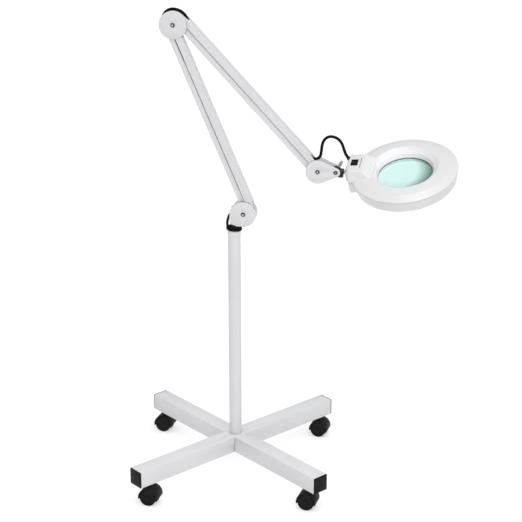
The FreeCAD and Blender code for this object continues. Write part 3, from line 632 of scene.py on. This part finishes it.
def neck(name, inset, low, high, end=NECK_END):
    """The neck between two heights: a convex left face, upright sides and a narrower flat top."""
    half, top_half = NECK_HALF - inset, NECK_TOP_HALF - inset * 0.6
    top, chamfer, steps = NECK_TOP - inset, 4, 6
    corners = []
    for z, width in ((low, half), (min(high, NECK_SIDE_TOP), half), (high, top_half)):
        for step in range(-steps, steps + 1):
            y = width * step / steps
            x = NECK_X + NECK_BULGE_R - math.sqrt((NECK_BULGE_R - inset) ** 2 - y ** 2)
            if z <= NECK_SIDE_TOP:
                corners.append((x, y, z))
            else:
                corners += [(x, y, min(z, top) - chamfer), (x + chamfer, y, min(z, top))]
    for width, z in ((half, low), (half, min(high, NECK_SIDE_TOP)), (top_half, min(high, CREST_Z - inset))):
        corners += [(end, -width, z), (end, width, z)]
    if high > NECK_SIDE_TOP:
        corners += [(NECK_TOP_END + inset, -top_half, top), (NECK_TOP_END + inset, top_half, top)]
    return hull(name, corners)


def upper_shell():
    """The ring's upper half with the neck's, hollow, with the switch's window and the cord's hole."""
    shoulder_r, shoulder_z = 102.0, 6.8
    ring = lathe("ring", ((BORE_R, SEAT_Z), (BORE_TOP_R, -1.0), (BORE_TOP_R + 0.6, 0),
                          (CREST_R - 1.6, CREST_Z - 0.7), (CREST_R, CREST_Z), (shoulder_r, shoulder_z),
                          (RING_R - 1, -0.6), (RING_R, -1.8), (RING_R, SEAM_Z),
                          (BORE_TOP_R + WALL + 6, SEAM_Z), (BORE_R + WALL, SEAT_Z)))
    body = join("head_upper_shell_finish", [ring, neck("neck", 0, SEAM_Z, NECK_TOP)])
    cavity = lathe("cavity", ((BORE_R + WALL, -30), (BORE_R + WALL, SEAT_Z), (BORE_TOP_R + WALL, -1.4),
                              (CREST_R, CREST_Z - 2.7), (RING_R - WALL, -2.2), (RING_R - WALL, -30)))
    hollow = neck("hollow", WALL, -30, NECK_TOP, end=-80)
    switch_x, window_half, window_half_width = -113.5, 6.8, 9.6
    window = block("window", (switch_x - window_half, -window_half_width, 10),
                   (switch_x + window_half, window_half_width, 40))
    groove = block("groove", (-100.1, -20, NECK_TOP - 2.2), (-98.2, 18, NECK_TOP + 3))
    hole_r, inward, outward = 4.9 * MM, GROMMET_DIR * 10 * MM, GROMMET_DIR * 12 * MM
    hole = tube("hole", [GROMMET - inward, GROMMET, GROMMET + outward], hole_r)
    mould(body, 1.1 * MM, 3, [cavity, hollow, window, groove, hole])
    finish_head_piece(body, "head_upper_shell")


def lower_shell():
    """The ring's lower half with the neck's, open underneath for the tube's light."""
    ring = lathe("ring", ((RING_R - 0.2, SEAM_Z - 0.2), (RING_BOTTOM_R, RING_BOTTOM_Z),
                          (OPEN_R, RING_BOTTOM_Z), (OPEN_R, SEAM_Z - 0.2)))
    body = join("head_lower_shell_finish", [ring, neck("neck", 0, NECK_BOTTOM, SEAM_Z - 0.2, end=-100)])
    cavity = lathe("cavity", ((OPEN_R - 20, RING_BOTTOM_Z + WALL),
                              (RING_BOTTOM_R - WALL, RING_BOTTOM_Z + WALL),
                              (RING_R - WALL - 0.2, 5), (OPEN_R - 20, 5)))
    hollow = neck("hollow", WALL, NECK_BOTTOM + WALL, 4, end=-80)
    mould(body, 1.2 * MM, 5, [cavity, hollow])
    finish_head_piece(body, "head_lower_shell")


def finish_head_piece(piece, node):
    """Put a piece that was made in the ring's own frame in its place on the head."""
    piece.data.transform(HEAD_FRAME)
    dress(piece, NODE_SLOT[node])
    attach(piece, "head")
    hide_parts(node)


def lens():
    """A biconvex lens with a ground rim."""
    radius, curve, top, bottom = 66.5, 560.0, -12.5, -15.5
    drop = math.sqrt(curve ** 2 - radius ** 2)
    steps = 24
    upper = [(radius * i / steps, top - drop + math.sqrt(curve ** 2 - (radius * i / steps) ** 2))
             for i in range(steps + 1)]
    lower = [(r, bottom + top - z) for r, z in reversed(upper)]
    piece = disc_solid("lens_finish", upper + lower)
    smooth(piece, 30)
    finish_head_piece(piece, "lens")


def round_tube():
    """The circular tube, its glass drawn as a smooth torus with a gap at the neck."""
    ring_r, radius, level, gap = 90.0, 14.5, -19.5, math.radians(26)
    steps = 120
    places = []
    for step in range(steps + 1):
        angle = math.pi + gap / 2 + (2 * math.pi - gap) * step / steps
        places.append(Vector((ring_r * math.cos(angle), ring_r * math.sin(angle), level)) * MM)
    piece = tube("circular_tube_finish", places, radius * MM, 32)
    finish_head_piece(piece, "circular_tube")


# ---------------------------------------------------------------- castors
def wheel(node, body):
    """A solid wheel with a rounded tread and a recessed outer face, about the castor's axle."""
    joint = next(j for j in frame["joints"] if j["child"] == body)
    hub, axle = Vector(joint["pos_m"]), Vector(joint["axis"])
    middle = node_centre(node)
    side = 1 if (middle - hub).dot(axle) > 0 else -1
    inner, outer = 5.3, 20.8
    cap = outer - 1.5
    outline = ((0, cap), (2.55, cap), (2.55, inner), (18.6, inner), (19.6, inner + 0.5), (20.0, inner + 2.0),
               (20.0, outer - 3.0), (19.5, outer - 1.0), (18.2, outer), (16.4, outer), (15.6, outer - 2.2),
               (11.5, outer - 2.9), (6.2, outer - 2.6), (5.4, outer - 0.4), (0, outer - 0.4))
    piece = disc_solid(node + "_finish", outline, 72)
    turn = (axle * side).to_track_quat("Z", "Y").to_matrix().to_4x4()
    piece.data.transform(Matrix.Translation(hub) @ turn)
    smooth(piece, 40)
    dress(piece, NODE_SLOT[node])
    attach(piece, body)
    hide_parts(node)


# ---------------------------------------------------------------- screws
def screw_head(name, place, body, radius, painted_glint_radius):
    """A pan head on the near face of a plate of the arm, dark as painted shade and dark reflection, with a bright
    raised end as a painted glint.
    """
    face = Matrix.Translation(place) @ Vector((0, -1, 0)).to_track_quat("Z", "Y").to_matrix().to_4x4()
    head = disc_solid(name, ((0, -0.8), (radius, -0.8), (radius, 0.5), (radius - 0.8, 1.1), (0, 1.1)), 48)
    end = disc_solid(name + "_end", ((0, 1.0), (painted_glint_radius, 1.0), (painted_glint_radius, 3.0), (painted_glint_radius - 0.6, 3.5),
                                     (0, 3.5)), 48)
    # Painted shade and highlight: the dark head stands for the shade in the screw's recess and a dark reflection,
    # and the bright end stands for a glint.
    for piece, slot in ((head, "dark_zinc"), (end, "bright_steel")):
        piece.data.transform(face)
        smooth(piece, 35)
        dress(piece, slot)
        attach(piece, body)


def screw_heads():
    """The three knuckles' screws and the smaller end of the tilt bolt."""
    face_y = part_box("elbow_front_plate")[0].y
    shoulder_place = Vector((23.4, 0, 664.8)) * MM
    wrist_place = TILT - Vector((41.5, 0, 0)) * MM
    for name, place, body, radius, painted_glint_radius in (
            ("shoulder_screw", shoulder_place, "shoulder", 5.0, 2.3),
            ("elbow_screw", ELBOW, "elbow", 5.0, 2.3),
            ("wrist_screw", wrist_place, "wrist", 5.0, 2.3),
            ("tilt_screw", TILT, "wrist", 4.4, 1.1)):
        screw_head(name, Vector((place.x, face_y, place.z)), body, radius, painted_glint_radius)


# ---------------------------------------------------------------- inner rails
LIP_LEVEL, LIP_DROP = 5.0 * MM, 1.2 * MM
INNER_RAILS = {"lower_inner_rail": (LOWER_INNER_PIVOT, LOWER_DROP),
               "upper_inner_rail": (Vector(JOINTS["upper_arm_inner"]["pos_m"]), UPPER_DROP)}


def lower_lips(piece, pivot, drop):
    """Bring down what lies above the lip level, so that a dark slot shows between the rails."""
    up = rail_axes(drop)[1]
    for vertex in piece.data.vertices:
        if (vertex.co - pivot).dot(up) > LIP_LEVEL:
            vertex.co -= up * LIP_DROP


# ---------------------------------------------------------------- springs
def spring_coil(name, node, body, pivot, drop):
    """The balance spring's wire, wound between the rods that hold it."""
    first, last, level, coil_r, wire_r, turns = 60.0, 250.0, 3.0, 3.3, 0.65, 95
    near_rod, far_rod, rod_half, rod_r = first - 14, 330.0, 10.7, 1.5
    steps_per_turn = 8
    run, side = rail_axes(drop)
    across = Vector((0, 1, 0))
    places = [pivot + (run * near_rod) * MM + side * level * MM]
    total = turns * steps_per_turn
    for step in range(total + 1):
        angle = 2 * math.pi * step / steps_per_turn
        reach = first + (last - first) * step / total
        places.append(pivot + (run * reach + side * (level + coil_r * math.cos(angle))
                               + across * coil_r * math.sin(angle)) * MM)
    places.append(pivot + (run * far_rod + side * level) * MM)
    piece = tube(name, places, wire_r * MM, 6)
    dress(piece, "spring_steel")
    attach(piece, body)
    rods = []
    for reach in (near_rod, far_rod):
        middle = pivot + (run * reach + side * level) * MM
        half = across * rod_half * MM
        rods.append(tube(name + "_rod", [middle - half, middle, middle + half], rod_r * MM, 12))
    pins = join(name + "_rods", rods)
    smooth(pins, 60)
    dress(pins, "bright_steel")
    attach(pins, body)
    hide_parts(node)


# ---------------------------------------------------------------- build
SOFT_EDGES = {                         # the rounding of each node's edges, in millimetres
    "through_beam": 1.2, "cross_beam": 1.2, "beam_end_caps": 1.0, "post_bush": 0.8, "hub_bolt": 0.5,
    "shoulder_front_plate": 0.6, "shoulder_back_plate": 0.6, "elbow_front_plate": 0.6,
    "elbow_back_plate": 0.6, "wrist_front_plate": 0.6, "wrist_back_plate": 0.6,
    "lower_outer_rail": 0.45, "upper_outer_rail": 0.45, "lower_inner_rail": 0.45,
    "upper_inner_rail": 0.45, "tilt_lever": 0.8, "knuckle": 0.6, "head_stem": 0.4, "mains_plug": 1.2,
    "switch_frame": 0.35, "switch_rocker": 0.4, "shoulder_neck": 0.5,
}
CASTOR_EDGE = 0.7
NODE_FINISH = {node_name: soften(node_name, width * MM) for node_name, width in SOFT_EDGES.items()}
for node_name in ("lower_inner_rail", "upper_inner_rail"):
    lower_lips(NODE_FINISH[node_name], *INNER_RAILS[node_name])
for node_name in NODES:
    if node_name.startswith("castor_body_"):
        soften(node_name, CASTOR_EDGE * MM)
    if node_name.startswith("castor_wheel_"):
        wheel(node_name, NODE_BODY[node_name])
elbow_cord()
head_cord()
mains_lead()
upper_shell()
lower_shell()
lens()
round_tube()
screw_heads()
spring_coil("lower_spring_wire", "lower_spring", "lower_outer",
            Vector(JOINTS["lower_arm_outer"]["pos_m"])
            - rail_axes(LOWER_DROP)[0] * RAIL_LENGTH * MM, LOWER_DROP)
spring_coil("upper_spring_wire", "upper_spring", "upper_outer", UPPER_OUTER_PIVOT, UPPER_DROP)


# ---------------------------------------------------------------- floor and light
def floor():
    """A plain pale floor that glows a little, so that it stays near white."""
    bpy.ops.mesh.primitive_plane_add(size=80, location=(0, 2, 0))
    plane = bpy.context.object
    plane.name = "studio_floor"
    s = Shader("studio_floor_white")
    s.set(Base_Color=s.mottle(s.noise(3, 2), grey(0.88), grey(0.90)), Roughness=0.7)
    s.set(Emission_Color=grey(1.0), Emission_Strength=0.05, Specular_IOR_Level=0.0)
    plane.data.materials.append(s.material)


def add_light(name, kind, energy, casts_shadow):
    data = bpy.data.lights.new(name, kind)
    data.energy = energy
    data.use_shadow = casts_shadow
    data.cycles.cast_shadow = casts_shadow
    light = bpy.data.objects.new(name, data)
    bpy.context.scene.collection.objects.link(light)
    return light


def sun(name, energy, towards, casts_shadow, spread):
    """A distant light that shines in this direction, spread over this many degrees."""
    light = add_light(name, "SUN", energy, casts_shadow)
    light.data.angle = math.radians(spread)
    light.rotation_euler = Vector(towards).to_track_quat("-Z", "Y").to_euler()


def small_fill(name, energy, place, size):
    """A small lamp without shadow or reflection, which lifts the faces turned to it."""
    light = add_light(name, "POINT", energy, False)
    light.data.shadow_soft_size = size
    light.location = place
    light.visible_glossy = False
    light.visible_transmission = False


def studio_light():
    """An even surround, a broad fill from above without shadow, a soft key light and two small fills."""
    world = bpy.data.worlds.new("studio")
    bpy.context.scene.world = world
    world.use_nodes = True
    back = world.node_tree.nodes["Background"]
    back.inputs["Color"].default_value = (1, 1, 1, 1)
    back.inputs["Strength"].default_value = 0.56
    sun("fill", 1.55, (-0.08, 0.36, -0.90), False, 20)
    sun("key", 0.45, (-0.2, 0.4, -0.85), True, 50)
    small_fill("front", 6.5, (0.9, -1.0, 1.0), 0.3)
    small_fill("bore", 0.05, HEAD_FRAME @ (Vector((-8, 12, 8)) * MM), 0.02)


floor()
studio_light()
bpy.context.scene.view_settings.view_transform = "Standard"
